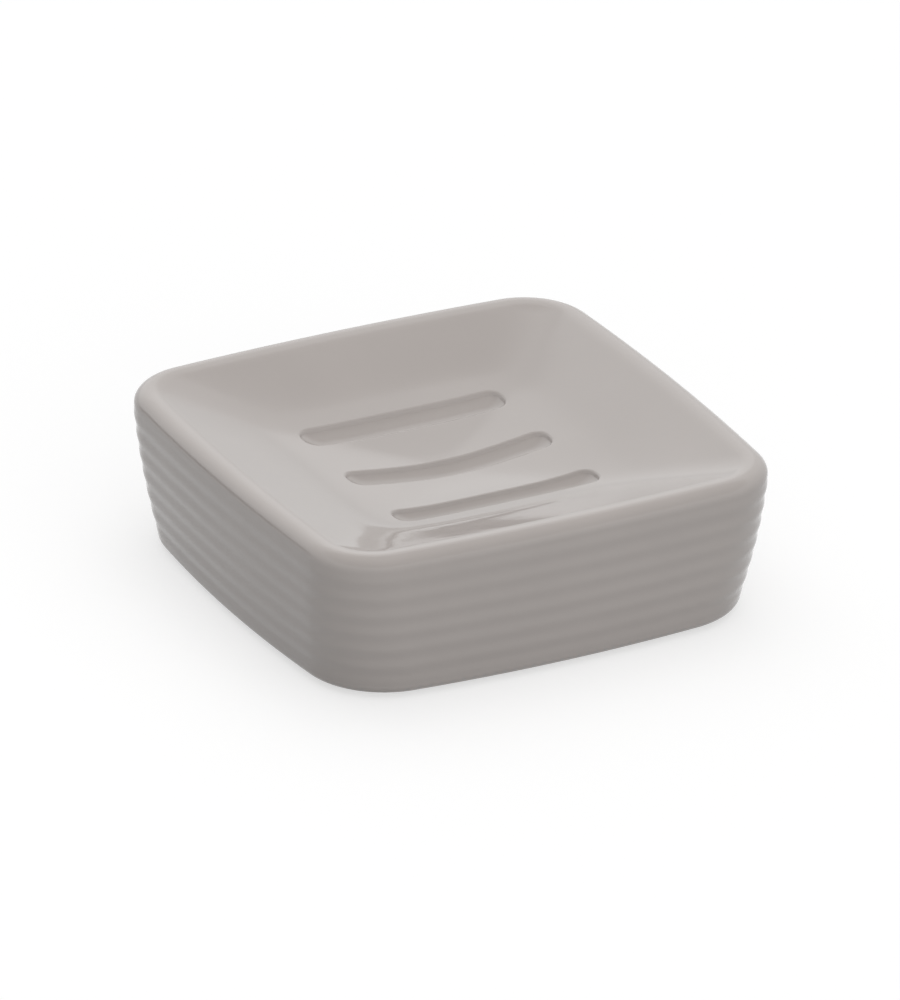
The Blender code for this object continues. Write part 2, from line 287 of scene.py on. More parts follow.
class StageLooks(PropertyGroup):
    """Camera, floor and lights."""

    azimuth: degrees("Azimuth", "Camera's turn round the dish", -27.67)
    elevation: degrees("Elevation", "Camera's height above the horizon", 25.52)
    roll: degrees("Roll", "Camera's roll", -0.57)
    distance: length("Distance", "From the camera to the middle of the base", 3.207)
    lens: FloatProperty(
        name="Lens", description="Focal length in millimetres", default=544.4, min=1, unit="CAMERA"
    )
    base_x: FloatProperty(name="Base X", description="Pixels from the left to the base", default=448.1)
    base_y: FloatProperty(name="Base Y", description="Pixels from the top to the base", default=567.6)
    floor: colour("Floor", "Colour of the floor where it is seen", (0.47, 0.47, 0.47))
    glow: colour("Floor glow", "What the floor adds to that, up to white", (0.62, 0.62, 0.62))
    bounce: colour("Bounce", "Colour of the floor for light that it throws back", (0.45, 0.45, 0.45))
    flag: colour("Flag", "Dark cards that the glaze mirrors", (0.22, 0.22, 0.22))
    reflector: FloatVectorProperty(
        name="Reflector", description="Bright card that the glaze mirrors", default=(1.4, 1.4, 1.4), size=3
    )
    lobe: degrees("Softness", "Reach of each soft light", 36)


class SoapDishSettings(PropertyGroup):
    """All that the soap dish is built from."""

    casting: PointerProperty(type=CastingSizes)
    grooves: PointerProperty(type=GrooveSizes)
    glaze: PointerProperty(type=GlazeLooks)
    fittings: PointerProperty(type=FittingLooks)
    stage: PointerProperty(type=StageLooks)


def blend(start, end, share):
    return start + (end - start) * share


def spread(start, end, steps):
    """Evenly spaced values from start to end, both included."""
    return [blend(start, end, step / steps) for step in range(steps + 1)]


def quarter_turn(steps):
    """Sines and cosines at even steps over a quarter turn."""
    return [(math.sin(turn), math.cos(turn)) for turn in spread(0, math.pi / 2, steps)]


def circle(steps):
    """Points of a circle of radius 1 about the Z axis."""
    turns = [2 * math.pi * step / steps for step in range(steps)]
    return np.array([(math.cos(turn), math.sin(turn), 0) for turn in turns])


def outward(loop):
    """Level directions of length 1 from the Z axis to the points of a loop."""
    radii = np.hypot(loop[:, 0], loop[:, 1])
    return np.column_stack([loop[:, 0] / radii, loop[:, 1] / radii, np.zeros(len(loop))])


def outline(half_x, half_y, corner, bow):
    """Points round a rectangle whose sides are bowed arcs that run tangent into its corner arcs."""
    lean_x = lean_y = 0.0
    for _ in range(LEAN_PASSES):
        lean_x, lean_y = (
            2 * math.atan2(bow, half_y - bow - corner * (math.cos(lean_y) - math.sin(lean_x))),
            2 * math.atan2(bow, half_x - bow - corner * (math.cos(lean_x) - math.sin(lean_y))),
        )
    corner_x = half_x - bow - corner * math.cos(lean_x)
    corner_y = half_y - bow - corner * math.cos(lean_y)
    points = []
    for turn, sign_x, sign_y in ((0, 1, 1), (1, -1, 1), (2, -1, -1), (3, 1, -1)):
        first, last = (lean_x, lean_y) if turn % 2 == 0 else (lean_y, lean_x)
        half = half_y if turn % 2 == 0 else half_x
        radius = bow / (1 - math.cos(last))
        quarter = turn * math.pi / 2
        next_axis = quarter + math.pi / 2
        for angle in spread(quarter + first, next_axis - last, CORNER_STEPS)[:-1]:
            x = sign_x * corner_x + corner * math.cos(angle)
            points.append((x, sign_y * corner_y + corner * math.sin(angle)))
        for angle in spread(next_axis - last, next_axis + last, SIDE_STEPS)[:-1]:
            x = (half - radius) * math.cos(next_axis) + radius * math.cos(angle)
            points.append((x, (half - radius) * math.sin(next_axis) + radius * math.sin(angle)))
    return np.array(points)


class Casting:
    """The casting's surfaces, worked out from its sizes."""

    def __init__(self, sizes, grooves):
        self.sizes = sizes
        self.grooves = grooves
        self.height = sizes.crest_z - sizes.foot_z
        self.ring_count = int((self.height - sizes.base_round - sizes.band) / sizes.ring_pitch)
        self.wall_angle = math.atan(sizes.wall_slope)
        inset = sizes.rim_outer + sizes.rim_inner * math.sin(self.wall_angle)
        drop = sizes.rim_inner * (1 - math.cos(self.wall_angle))
        self.well_rim = self.section(0, inset)
        self.well_half = min(sizes.width, sizes.depth) / 2 - inset
        self.middle_z = sizes.crest_z - drop - self.rise(self.well_half)

    def rise(self, out):
        """Height over the middle of the dish: a shallow floor that turns up into a steeper wall."""
        sizes = self.sizes
        floor = sizes.floor_slope * (np.hypot(out, sizes.floor_round) - sizes.floor_round)
        turn = np.hypot(out - sizes.floor_reach, sizes.wall_blend)
        turn = turn - np.hypot(sizes.floor_reach, sizes.wall_blend)
        return floor + (sizes.wall_slope - sizes.floor_slope) * (turn + out) / 2

    def section(self, drop, inset):
        """Outline at a drop below the crest of the rim, drawn in by inset."""
        sizes = self.sizes
        straight = self.height - sizes.rim_outer - sizes.base_round
        share = min(max((drop - sizes.rim_outer) / straight, 0), 1)
        swell = 4 * sizes.swell * share * (1 - share)  # the whole swell halfway down
        drawn_in = sizes.taper * share - swell + inset
        corner = blend(sizes.rim_corner, sizes.base_corner, share) - inset
        bow = blend(sizes.rim_bow, sizes.base_bow, share)
        return outline(sizes.width / 2 - drawn_in, sizes.depth / 2 - drawn_in, corner, bow)

    def level(self, drop, inset):
        """The same outline as points in space."""
        points = self.section(drop, inset)
        return np.column_stack([points, np.full(len(points), self.sizes.crest_z - drop)])

    def ringed(self, drop, inset=0):
        """The outline at a drop, drawn in by the soft rings, which stray as on a hand-made mould."""
        sizes = self.sizes
        fade_in = min(max((drop - sizes.ring_start) / (sizes.rim_outer - sizes.ring_start), 0), 1)
        fade_out = min(max((self.ring_count + 0.5) - (drop - sizes.band) / sizes.ring_pitch, 0), 1)
        loop = []
        for high, low in zip(self.level(drop, inset), self.level(drop, inset + sizes.ring_depth)):
            place = Vector(high) * STRAY_SCALE
            turn = (drop - sizes.band + sizes.ring_wander * noise.noise(place)) / sizes.ring_pitch
            share = (1 - math.cos(2 * math.pi * turn)) / 2
            share *= 1 + UNEVENNESS * noise.noise(place * UNEVEN_SCALE)
            loop.append(high + (low - high) * share * fade_in * fade_out)
        return np.array(loop)

    def reach(self, x, y):
        """How far out from the middle of the dish a point lies, from 0 to 1 at the dish's rim."""
        half_x, half_y = self.well_rim.max(axis=0)
        angles = np.arctan2(self.well_rim[:, 1], self.well_rim[:, 0])
        order = np.argsort(angles)
        radii = np.hypot(self.well_rim[:, 0], self.well_rim[:, 1])[order]
        angle = np.arctan2(y, x)
        radius = np.interp(angle, angles[order], radii, period=2 * math.pi)
        power = self.sizes.well_squareness
        norm = np.abs(radius * np.cos(angle) / half_x) ** power
        norm = norm + np.abs(radius * np.sin(angle) / half_y) ** power
        squarer = norm ** (-1 / power)
        scale = np.hypot(x, y) / radius
        reach = scale / squarer
        for _ in range(REACH_PASSES):
            miss = reach * (squarer + (1 - squarer) * reach**2) - scale
            reach = reach - miss / (squarer + 3 * (1 - squarer) * reach**2)
        return np.clip(reach, 0, 1)

    def well_z(self, x, y):
        """Height of the dish without its grooves."""
        return self.middle_z + self.rise(self.reach(x, y) * self.well_half)

    def groove_drop(self, x, y):
        """How far a groove about Y = 0 drops below the dish: a rounded lip, then the groove's section."""
        grooves = self.grooves
        power = grooves.squareness
        side = np.abs(y)
        end = grooves.length / 2 - np.abs(x)
        out_x = np.maximum(grooves.corner - end, 0)
        out_y = np.maximum(side - (grooves.width / 2 - grooves.corner), 0)
        past = np.hypot(out_x, out_y) - grooves.corner
        on_lip = np.clip(past / grooves.lip, 0, 1)
        lip_drop = grooves.lip * (1 - np.sqrt(1 - (1 - on_lip) ** 2))
        corner = np.clip(grooves.corner - end, 0, grooves.corner)
        half = grooves.width / 2 - grooves.corner + np.sqrt(np.maximum(grooves.corner**2 - corner**2, 0))
        across = np.clip(1 - (side / np.maximum(half, TINY)) ** power, 0, 1) ** (GROOVE_EASE / power)
        run_in = np.clip(1 - end / (grooves.width * GROOVE_RUN_OUT), 0, 1)
        along = np.clip(1 - run_in**power, 0, 1) ** (GROOVE_EASE / power)
        return np.where(past < 0, grooves.lip + (grooves.depth - grooves.lip) * across * along, lip_drop)

    def groove_middles(self):
        """Where the grooves' middle lines lie along Y."""
        count = self.grooves.count
        return [(index - (count - 1) / 2) * self.grooves.pitch for index in range(count)]

    def dish_z(self, x, y):
        """Height of the dish with its grooves."""
        z = self.well_z(x, y)
        for middle in self.groove_middles():
            z = z - self.groove_drop(x, y - middle)
        return z


def groove_rings(grooves):
    """Closed outlines of a groove, from just outside its lip to near its middle."""
    half_x, half_y = grooves.length / 2, grooves.width / 2
    insets = [-grooves.lip * share for share in LIP_MARGINS]
    insets += [-grooves.lip * cosine for _, cosine in quarter_turn(LIP_STEPS)]
    wall = spread(0, GROOVE_LAST_ANGLE, GROOVE_WALL_STEPS)[1:]
    insets += [half_y * (1 - math.cos(turn)) for turn in wall]
    rings = []
    for inset in insets:
        corner = max(grooves.corner - inset, SMALLEST_CORNER)
        straight_x, straight_y = half_x - inset - corner, half_y - inset - corner
        ring = []
        for quarter, sign_x, sign_y in ((0, 1, 1), (1, -1, 1), (2, -1, -1), (3, 1, -1)):
            start = quarter * math.pi / 2
            for turn in spread(start, start + math.pi / 2, GROOVE_CORNER_STEPS):
                x = sign_x * straight_x + corner * math.cos(turn)
                ring.append((x, sign_y * straight_y + corner * math.sin(turn)))
            run, steps = 2 * straight_y, GROOVE_END_STEPS
            if quarter % 2 == 0:
                run, steps = 2 * straight_x, GROOVE_RUN_STEPS
            from_x, from_y = ring[-1]
            step_x, step_y = -math.sin(start + math.pi / 2), math.cos(start + math.pi / 2)
            for share in spread(0, 1, steps)[1:-1]:
                ring.append((from_x + step_x * run * share, from_y + step_y * run * share))
        rings.append(ring)
    return rings


def dish_mesh(casting):
    """Triangles of the dish inside its rim: outlines of each groove, and an even grid elsewhere."""
    rim = casting.well_rim
    points = [tuple(point) for point in rim]
    edges = [(i, (i + 1) % len(rim)) for i in range(len(rim))]
    rings = groove_rings(casting.grooves)
    keep_off_x = max(x for x, _ in rings[0]) + GRID_SPACING / 2
    keep_off_y = max(y for _, y in rings[0]) + GRID_SPACING / 2
    middles = casting.groove_middles()
    for middle in middles:
        for ring in rings:
            first = len(points)
            points += [(x, y + middle) for x, y in ring]
            edges += [(first + i, first + (i + 1) % len(ring)) for i in range(len(ring))]
        line = casting.grooves.length / 2 - casting.grooves.width / 2
        points += [(x, middle) for x in spread(-line, line, GROOVE_RUN_STEPS)]
    half_x, half_y = rim.max(axis=0)
    across = np.linspace(-half_x, half_x, int(2 * half_x / GRID_SPACING))
    along = np.linspace(-half_y, half_y, int(2 * half_y / GRID_SPACING))
    grid_x, grid_y = (grid.ravel() for grid in np.meshgrid(across, along))
    inside = casting.reach(grid_x, grid_y) < 1 - GRID_SPACING / half_x
    for x, y in zip(grid_x[inside], grid_y[inside]):
        if abs(x) > keep_off_x or all(abs(y - middle) > keep_off_y for middle in middles):
            points.append((x, y))
    flat, _, faces, origins, _, _ = geometry.delaunay_2d_cdt(
        [Vector(point) for point in points], edges, [], 1, MERGE_DISTANCE
    )
    flat = np.array([tuple(point) for point in flat])
    place = {origin: index for index, found in enumerate(origins) for origin in found}
    vertices = np.column_stack([flat, casting.dish_z(flat[:, 0], flat[:, 1])])
    return vertices, [tuple(face) for face in faces], [place[index] for index in range(len(rim))]


def rim_loops(casting):
    """From the inner rounding over the crest to the foot of the outer rounding."""
    sizes = casting.sizes
    loops = []
    for turn in spread(casting.wall_angle, 0, INNER_STEPS)[1:]:
        inset = sizes.rim_outer + sizes.rim_inner * math.sin(turn)
        loops.append(casting.level(0, inset) - [0, 0, sizes.rim_inner * (1 - math.cos(turn))])
    for sine, cosine in quarter_turn(OUTER_STEPS)[1:]:
        loops.append(casting.ringed(sizes.rim_outer * (1 - cosine), sizes.rim_outer * (1 - sine)))
    return loops


def ringed_loops(casting):
    """Down the side over the soft rings."""
    sizes = casting.sizes
    lowest = sizes.band + casting.ring_count * sizes.ring_pitch
    drops = spread(sizes.rim_outer, sizes.band, BAND_STEPS)[1:-1]
    drops += spread(sizes.band, lowest, casting.ring_count * STEPS_PER_RING)
    return [casting.ringed(drop) for drop in drops]


def underside_loops(casting):
    """Round the foot ring, up into the recess and in to the casting hole."""
    sizes = casting.sizes
    edge = sizes.edge_round
    loops = []
    for sine, cosine in quarter_turn(BASE_STEPS):
        drop = casting.height - sizes.base_round * (1 - sine)
        loops.append(casting.level(drop, sizes.base_round * (1 - cosine)))
    inner = sizes.base_round + sizes.foot_ring
    for sine, cosine in quarter_turn(EDGE_STEPS):
        loops.append(casting.level(casting.height - edge * (1 - cosine), inner - edge * (1 - sine)))
    recess_drop = casting.height - sizes.recess
    for sine, cosine in quarter_turn(EDGE_STEPS):
        loops.append(casting.level(recess_drop + edge * (1 - sine), inner + edge * (1 - cosine)))
    outer = casting.level(recess_drop, inner + edge)
    ring = outward(outer)
    mouth = ring * (sizes.hole / 2 + edge) + [0, 0, outer[0, 2]]
    loops += [outer + (mouth - outer) * share for share in spread(0, 1, RECESS_STEPS)[1:]]
    recess_z = sizes.foot_z + sizes.recess
    for sine, cosine in quarter_turn(EDGE_STEPS)[1:]:
        radius = sizes.hole / 2 + edge * (1 - sine)
        loops.append(ring * radius + [0, 0, recess_z + edge * (1 - cosine)])
    return loops


def cavity_loops(casting):
    """The inside of the hollow casting, from the hole over its floor and wall to the ceiling's middle."""
    sizes = casting.sizes
    floor_z = sizes.foot_z + sizes.recess + sizes.base_wall
    floor_drop = sizes.crest_z - floor_z
    thickness = casting.grooves.depth + sizes.floor_wall
    floor = casting.level(floor_drop, sizes.side_wall)
    hole = outward(floor) * sizes.hole / 2 + [0, 0, floor_z]
    loops = [hole, (hole + floor) / 2, floor]
    wall = spread(floor_drop, thickness, CAVITY_STEPS)[1:-1]
    loops += [casting.level(drop, sizes.side_wall) for drop in wall]
    rim = casting.section(thickness, sizes.side_wall)
    for reach in spread(1, 0, CEILING_STEPS)[:-1]:
        height = casting.middle_z - thickness + casting.rise(reach * rim.max())
        loops.append(np.column_stack([rim * reach, np.full(len(rim), height)]))
    loops.append(np.array([[0, 0, casting.middle_z - thickness]]))
    return loops


def new_object(name, vertices, faces, finish):
    """A smooth piece whose sharp edges stay crisp."""
    mesh = bpy.data.meshes.new(name)
    mesh.from_pydata(vertices.tolist(), [], faces)
    mesh.validate()
    mesh.materials.append(finish)
    mesh.shade_smooth()
    mesh.set_sharp_from_angle(angle=SHARP_ANGLE)
    made = bpy.data.objects.new(name, mesh)
    bpy.context.scene.collection.objects.link(made)
    return made


def add_loops(vertices, faces, loop, loops):
    """Carries a surface on from a loop of its points over further loops. Either end may be one point."""
    used = sum(len(points) for points in vertices)
    for points in loops:
        following = list(range(used, used + len(points)))
        steps = max(len(loop), len(following))
        for i in range(steps):
            j = (i + 1) % steps
            if len(following) == 1:
                faces.append((loop[j], loop[i], following[0]))
            elif len(loop) == 1:
                faces.append((loop[0], following[i], following[j]))
            else:
                faces.append((loop[j], loop[i], following[i], following[j]))
        vertices.append(points)
        used += len(points)
        loop = following


def casting_object(casting, finish):
    """One closed mesh: the dish, then loops over the rim, down the side, underneath and round the hollow."""
    dish, faces, loop = dish_mesh(casting)
    vertices = [dish]
    loops = rim_loops(casting) + ringed_loops(casting) + underside_loops(casting) + cavity_loops(casting)
    add_loops(vertices, faces, loop, loops)
    return new_object("glazed_casting", np.vstack(vertices), faces, finish)


def turned_object(name, profile, middle, finish, steps=TURN_STEPS):
    """A closed solid of revolution from (radius, height) points, with one on its axis at either end."""
    ring = circle(steps)
    ends = [np.array([(0, 0, z)]) for z in (profile[0][1], profile[-1][1])]
    loops = [ends[0]] + [ring * radius + [0, 0, z] for radius, z in profile[1:-1]] + [ends[1]]
    vertices, faces = [loops[0]], []
    add_loops(vertices, faces, [0], loops[1:])
    return new_object(name, np.vstack(vertices) + [middle[0], middle[1], 0], faces, finish)


class Value:
    """A number that varies over a surface. Expressions on it add Math nodes."""

    def __init__(self, finish, socket):
        self.finish = finish
        self.socket = socket

    def calculate(self, operation, *numbers):
        made = self.finish.node("ShaderNodeMath", {"operation": operation}, dict(enumerate(numbers)))
        return self.finish.value(made, "Value")

    def __add__(self, other):
        return self.calculate("ADD", self, other)

    def __sub__(self, other):
        return self.calculate("SUBTRACT", self, other)

    def __rsub__(self, other):
        return self.calculate("SUBTRACT", other, self)

    def __mul__(self, other):
        return self.calculate("MULTIPLY", self, other)

    __radd__ = __add__
    __rmul__ = __mul__

    def between(self, low, high):
        """0 below low and 1 above high, with a soft step between."""
        sockets = {"Value": self, "From Min": low, "From Max": high}
        made = self.finish.node("ShaderNodeMapRange", {"interpolation_type": "SMOOTHSTEP"}, sockets)
        return self.finish.value(made, "Result")


class Finish:
    """A material or world being written: its node tree and the ways to add to it."""

    def __init__(self, owner):
        self.owner = owner
        owner.use_nodes = True
        self.tree = owner.node_tree

    def node(self, kind, settings=None, sockets=None):
        """Adds a node: its settings are set first, then the values or links of its sockets."""
        made = self.tree.nodes.new(kind)
        for setting, value in (settings or {}).items():
            setattr(made, setting, value)
        self.feed(made, sockets or {})
        return made

    def feed(self, node, sockets):
        """Sets or links a node's inputs."""
        for name, value in sockets.items():
            place = node.inputs[name]
            if isinstance(value, Value):
                self.tree.links.new(value.socket, place)
            elif isinstance(value, bpy.types.NodeSocket):
                self.tree.links.new(value, place)
            elif place.type == "RGBA":
                place.default_value = (*value, 1)
            else:
                place.default_value = value

    def value(self, node, output):
        return Value(self, node.outputs[output])

    def mix(self, share, first, second):
        """A colour between two colours."""
        made = self.node("ShaderNodeMix", {"data_type": "RGBA"}, {"Factor": share, "A": first, "B": second})
        return made.outputs["Result"]

    def place(self):
        """Where a point lies on its object."""
        return self.node("ShaderNodeTexCoord").outputs["Object"]

    def texture(self, place, scale, detail):
        """Noise from 0 to 1, with scale in waves a metre."""
        made = self.node("ShaderNodeTexNoise", {}, {"Vector": place, "Scale": scale, "Detail": detail})
        return self.value(made, "Fac")

    def relief(self, height):
        """The normal that a height in metres gives the surface."""
        made = self.node("ShaderNodeBump", {}, {"Height": height, "Distance": 1.0, "Strength": 1.0})
        return made.outputs["Normal"]

    def seen(self):
        """1 where the camera, a mirror or glass looks, and 0 for the light on surfaces."""
        paths = self.node("ShaderNodeLightPath")
        total = self.value(paths, "Is Camera Ray") + self.value(paths, "Is Glossy Ray")
        total = total + self.value(paths, "Is Transmission Ray")
        return total.calculate("MINIMUM", total, 1.0)


def new_finish(name):
    finish = Finish(bpy.data.materials.new(name))
    return finish, finish.tree.nodes["Principled BSDF"]


def glaze_finish(looks, sizes):
    """Glossy warm grey glaze with slow ripples, a painted highlight along the rim's crest and lighter clouds
    where it runs thin, wiped off the foot ring.
    """
    finish, shader = new_finish("warm_grey_glaze")
    place = finish.place()
    split = finish.node("ShaderNodeSeparateXYZ", {}, {"Vector": place})
    across, along, height = (finish.value(split, axis) for axis in "XYZ")
    cloud = finish.texture(place, 45.0, 3.0)
    fleck = finish.texture(place, 1600.0, 2.0)
    slow = finish.texture(place, 110.0, 1.0)
    # Painted highlight: the top band of the rim is made lighter, standing in for the light along its crest
    crest = height.between(sizes.crest_z - CREST_HIGHLIGHT_BAND, sizes.crest_z)
    # Share of the lighter tone: the painted crest highlight, plus random clouds of thin glaze
    thin = crest * CREST_HIGHLIGHT_SHARE + cloud.between(*CLOUD_EDGES) * CLOUD_THINNING
    glazed = finish.mix(thin, tuple(looks.tone), tuple(looks.thin_glaze_and_highlight_tone))
    speckle = fleck.between(*SPECKLE_EDGES) * SPECKLE_SHARE
    speckled = finish.mix(speckle, glazed, tuple(looks.tone * SPECKLE_SHADE))
    aside = across.calculate("ABSOLUTE", across)
    radial = aside.calculate("MAXIMUM", aside, along.calculate("ABSOLUTE", along))
    low = height.between(*(sizes.foot_z + end for end in GLAZE_END_HEIGHTS))
    foot = low * radial.between(*GLAZE_END_REACHES)
    clay = finish.mix(fleck.between(*CLAY_EDGES), tuple(looks.clay), tuple(looks.clay * CLAY_SHADE))
    normal = finish.relief(slow * looks.ripple + fleck * foot * CLAY_GRAIN)
    finish.feed(
        shader,
        {
            "Base Color": finish.mix(foot, speckled, clay),
            "Roughness": cloud * CLOUD_ROUGHNESS + foot * CLAY_ROUGHNESS + looks.roughness,
            "IOR": GLAZE_IOR,
            "Normal": normal,
        },
    )
    return finish.owner


def plug_finish(looks):
    """Satin soft moulding with a fine spark-eroded grain."""
    finish, shader = new_finish("soft_plug_plastic")
    place = finish.place()
    grain = finish.texture(place, 2600.0, 3.0)
    haze = finish.texture(place, 220.0, 2.0)
    normal = finish.relief(grain * PLUG_GRAIN)
    plain_roughness, haze_roughness = PLUG_ROUGHNESS
    hazy = haze.between(*HAZE_EDGES)
    finish.feed(
        shader,
        {
            "Base Color": finish.mix(hazy, tuple(looks.plug), tuple(looks.plug * PLUG_SHADE)),
            "Roughness": haze * haze_roughness + plain_roughness,
            "Subsurface Weight": PLUG_GLOW_SHARE,
            "Subsurface Radius": (PLUG_GLOW_REACH, PLUG_GLOW_REACH, PLUG_GLOW_REACH),
            "Normal": normal,
        },
    )
    return finish.owner


def rubber_finish(looks):
    """Matt rubber with a fine grain and a little dust."""
    finish, shader = new_finish("foot_rubber")
    place = finish.place()
    grain = finish.texture(place, 3400.0, 4.0)
    dust = finish.texture(place, 600.0, 3.0)
    normal = finish.relief(grain * RUBBER_GRAIN)
    plain_roughness, dust_roughness = RUBBER_ROUGHNESS
    dusty = dust.between(*DUST_EDGES) * DUST_SHARE
    finish.feed(
        shader,
        {
            "Base Color": finish.mix(dusty, tuple(looks.rubber), tuple(looks.rubber * DUST_SHADE)),
            "Roughness": dust * dust_roughness + plain_roughness,
            "Normal": normal,
        },
    )
    return finish.owner


def settings():
    return bpy.context.scene.soap_dish


class SOAPDISH_OT_casting(Operator):
    """Build the glazed ceramic casting"""

    bl_idname = "soap_dish.casting"
    bl_label = "Casting"

    def execute(self, context):
        sizes = settings().casting
        finish = glaze_finish(settings().glaze, sizes)
        made = casting_object(Casting(sizes, settings().grooves), finish)
        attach(made, "root")
        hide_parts("dish_body")
        return {"FINISHED"}


class SOAPDISH_OT_plug(Operator):
    """Build the soft plug in the casting hole"""

    bl_idname = "soap_dish.plug"
    bl_label = "Plug"

    def execute(self, context):
        sizes = settings().casting
        recess_z = sizes.foot_z + sizes.recess
        flange, flange_top, flange_low = PLUG_HIGH.x, recess_z - PLUG_GAP, PLUG_LOW.z
        stem = sizes.hole / 2 - PLUG_GAP
        bore = stem - PLUG_WALL
        nose_z = PLUG_HIGH.z
        bead_low = recess_z + sizes.base_wall + PLUG_GAP
        bead_high = bead_low + PLUG_BEAD_HEIGHT
        profile = [(0, flange_top), (bore - PLUG_EDGE, flange_top)]
        for sine, cosine in quarter_turn(EDGE_STEPS)[1:]:
            profile.append((bore - PLUG_EDGE + PLUG_EDGE * sine, flange_top + PLUG_EDGE * (1 - cosine)))
        profile.append((bore, nose_z - PLUG_EDGE))
        for sine, cosine in quarter_turn(EDGE_STEPS)[1:]:
            profile.append((bore + PLUG_EDGE * (1 - cosine), nose_z - PLUG_EDGE + PLUG_EDGE * sine))
        for sine, cosine in quarter_turn(PLUG_NOSE_STEPS)[1:]:
            profile.append((blend(bore + PLUG_EDGE, stem, sine), blend(nose_z, bead_high, 1 - cosine)))
        for share in spread(0, 1, PLUG_BEAD_STEPS)[1:]:
            bulge = PLUG_BEAD * math.sin(share * math.pi)
            profile.append((stem + bulge, blend(bead_high, bead_low, share)))
        profile += [(stem, blend(bead_low, flange_top, share)) for share in STEM_SHARES]
        profile += [(stem + STEM_FLARE, flange_top), (flange - FLANGE_TOP_EDGE, flange_top)]
        for sine, cosine in quarter_turn(FLANGE_TOP_STEPS)[1:]:
            radius = flange - FLANGE_TOP_EDGE * (1 - sine)
            profile.append((radius, flange_top - FLANGE_TOP_EDGE * (1 - cosine)))
        for sine, cosine in quarter_turn(FLANGE_LOW_STEPS):
            radius = flange - FLANGE_LOW_EDGE * (1 - cosine)
            profile.append((radius, flange_low + FLANGE_LOW_EDGE * (1 - sine)))
        profile += [(radius, flange_low + height) for radius, height in PLUG_DIMPLE]
        made = turned_object("soft_plug", profile, (0, 0), plug_finish(settings().fittings))
        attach(made, "root")
        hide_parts("casting_hole_plug")
        return {"FINISHED"}


class SOAPDISH_OT_feet(Operator):
    """Build the four non-slip feet"""

    bl_idname = "soap_dish.feet"
    bl_label = "Feet"

    def execute(self, context):
        finish = rubber_finish(settings().fittings)
        for node in FOOT_NODES:
            low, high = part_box(node)
            radius = (high.x - low.x) / 2
            profile = [(0, high.z), (radius - FOOT_TOP_EDGE, high.z), (radius, high.z - FOOT_TOP_EDGE)]
            for sine, cosine in quarter_turn(FOOT_EDGE_STEPS):
                profile.append((radius - FOOT_EDGE * (1 - cosine), low.z + FOOT_EDGE * (1 - sine)))
            profile += [(radius * share, low.z + height) for share, height in FOOT_DIMPLE]
            name = node.replace("foot", "rubber_foot")
            made = turned_object(name, profile, (low + high) / 2, finish, FOOT_TURN_STEPS)
            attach(made, "root")
            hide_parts(node)
        return {"FINISHED"}


def camera_directions(looks):
    """Right, up and back of the camera."""
    back = Vector(
        (
            math.sin(looks.azimuth) * math.cos(looks.elevation),
            -math.cos(looks.azimuth) * math.cos(looks.elevation),
            math.sin(looks.elevation),
        )
    )
    level = Vector((math.cos(looks.azimuth), math.sin(looks.azimuth), 0))
    upright = back.cross(level)
    right = level * math.cos(looks.roll) - upright * math.sin(looks.roll)
    up = level * math.sin(looks.roll) + upright * math.cos(looks.roll)
    return right, up, back


def add_camera(looks):
    data = bpy.data.cameras.new("viewpoint")
    data.lens = looks.lens
    data.sensor_width = SENSOR
    data.clip_start, data.clip_end = CLIP_START, CLIP_END
    camera = bpy.data.objects.new("viewpoint", data)
    bpy.context.scene.collection.objects.link(camera)
    right, up, back = camera_directions(looks)
    per_pixel = looks.distance * SENSOR / looks.lens / PICTURE_HEIGHT
    aside = right * (PICTURE_WIDTH / 2 - looks.base_x) * per_pixel
    aloft = up * (looks.base_y - PICTURE_HEIGHT / 2) * per_pixel
    stand = Vector((0, 0, BASE_Z)) + back * looks.distance + aside + aloft
    camera.matrix_world = Matrix.Translation(stand) @ Matrix((right, up, back)).transposed().to_4x4()
    bpy.context.scene.camera = camera


def add_card(name, middle, tilt, half_width, half_height, shade):
    """An oval card that only reflections show. It fades to white outwards."""
    mesh = bpy.data.meshes.new(name)
    mesh.from_pydata(circle(CARD_STEPS).tolist(), [], [range(CARD_STEPS)])
    finish, shader = new_finish(name)
    away = finish.node("ShaderNodeVectorMath", {"operation": "LENGTH"}, {0: finish.place()})
    faded = finish.value(away, "Value").between(CARD_CORE, 1)
    glow = finish.mix(faded, tuple(shade), (1, 1, 1))
    finish.feed(
        shader,
        {
            "Base Color": (0, 0, 0),
            "Specular IOR Level": 0.0,
            "Emission Color": glow,
            "Emission Strength": 1.0,
        },
    )
    mesh.materials.append(finish.owner)
    card = bpy.data.objects.new(name, mesh)
    bpy.context.scene.collection.objects.link(card)
    turn = Matrix.Rotation(math.radians(tilt), 4, "X")
    size = Matrix.Diagonal((half_width, half_height, 1, 1))
    card.matrix_world = Matrix.Translation(middle) @ turn @ size
    card.visible_camera = card.visible_diffuse = False
    card.visible_transmission = card.visible_shadow = False


def add_floor(looks):
    mesh = bpy.data.meshes.new("floor")
    corners = [(-1, -1), (1, -1), (1, 1), (-1, 1)]
    mesh.from_pydata([(FLOOR_HALF * x, FLOOR_HALF * y, 0) for x, y in corners], [], [(0, 1, 2, 3)])
    finish, shader = new_finish("pale_floor")
    seen = finish.seen()
    finish.feed(
        shader,
        {
            "Base Color": finish.mix(seen, tuple(looks.bounce), tuple(looks.floor)),
            "Emission Color": finish.mix(seen, (0, 0, 0), tuple(looks.glow)),
            "Emission Strength": 1.0,
            "Roughness": 0.9,
            "Specular IOR Level": 0.0,
        },
    )
    floor = bpy.data.objects.new("floor", mesh)
    mesh.materials.append(finish.owner)
    bpy.context.scene.collection.objects.link(floor)


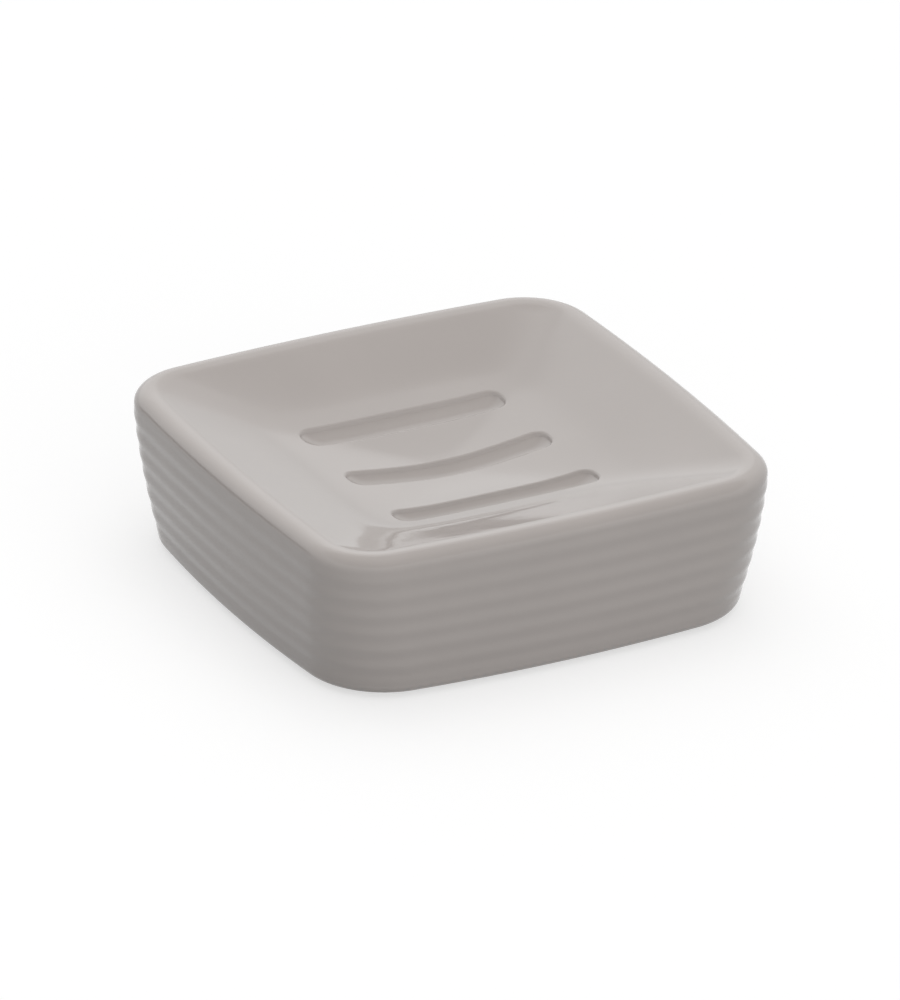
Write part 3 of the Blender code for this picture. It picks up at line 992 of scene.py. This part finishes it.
def soft_light(world, looks):
    """The studio's soft lights as one sum over the directions they come from."""
    place = world.node("ShaderNodeTexCoord").outputs["Generated"]
    total = 0.0
    for azimuth, elevation, strength in SOFT_LIGHTS:
        turn, tilt = math.radians(azimuth), math.radians(elevation)
        towards = (math.sin(turn) * math.cos(tilt), -math.cos(turn) * math.cos(tilt), math.sin(tilt))
        facing = world.node("ShaderNodeVectorMath", {"operation": "DOT_PRODUCT"}, {0: place, 1: towards})
        total = world.value(facing, "Value").between(math.cos(looks.lobe), 1) * strength + total
    return total


class SOAPDISH_OT_stage(Operator):
    """Build the camera, floor and lights"""

    bl_idname = "soap_dish.stage"
    bl_label = "Stage"

    def execute(self, context):
        looks = settings().stage
        add_camera(looks)
        add_floor(looks)
        add_card("dark_flag", *FLAG, looks.flag)
        add_card("low_flag", *LOW_FLAG, looks.flag)
        add_card("bright_reflector", *REFLECTOR, looks.reflector)
        world = Finish(bpy.data.worlds.new("studio"))
        seen = world.seen()
        strength = (1 - seen) * soft_light(world, looks) + seen
        world.feed(world.tree.nodes["Background"], {"Color": (1, 1, 1), "Strength": strength})
        bpy.context.scene.world = world.owner
        bpy.context.scene.view_settings.view_transform = "Standard"
        return {"FINISHED"}


BUILDERS = (SOAPDISH_OT_casting, SOAPDISH_OT_plug, SOAPDISH_OT_feet, SOAPDISH_OT_stage)
GROUPS = (CastingSizes, GrooveSizes, GlazeLooks, FittingLooks, StageLooks, SoapDishSettings)


class SOAPDISH_PT_sidebar(Panel):
    """Sizes, colours and builders of the soap dish"""

    bl_label = "Soap Dish"
    bl_space_type = "VIEW_3D"
    bl_region_type = "UI"
    bl_category = "Soap Dish"

    def draw(self, context):
        for part in ("casting", "grooves", "glaze", "fittings", "stage"):
            group = getattr(settings(), part)
            box = self.layout.box()
            box.label(text=part.title())
            for name in type(group).__annotations__:
                box.prop(group, name)
        for builder in BUILDERS:
            self.layout.operator(builder.bl_idname)


def register():
    for made in GROUPS + BUILDERS + (SOAPDISH_PT_sidebar,):
        bpy.utils.register_class(made)
    bpy.types.Scene.soap_dish = PointerProperty(type=SoapDishSettings)


def unregister():
    del bpy.types.Scene.soap_dish
    for made in reversed(GROUPS + BUILDERS + (SOAPDISH_PT_sidebar,)):
        bpy.utils.unregister_class(made)


def main():
    register()
    for builder in BUILDERS:
        category, name = builder.bl_idname.split(".")
        getattr(getattr(bpy.ops, category), name)()


if __name__ == "__main__":
    main()
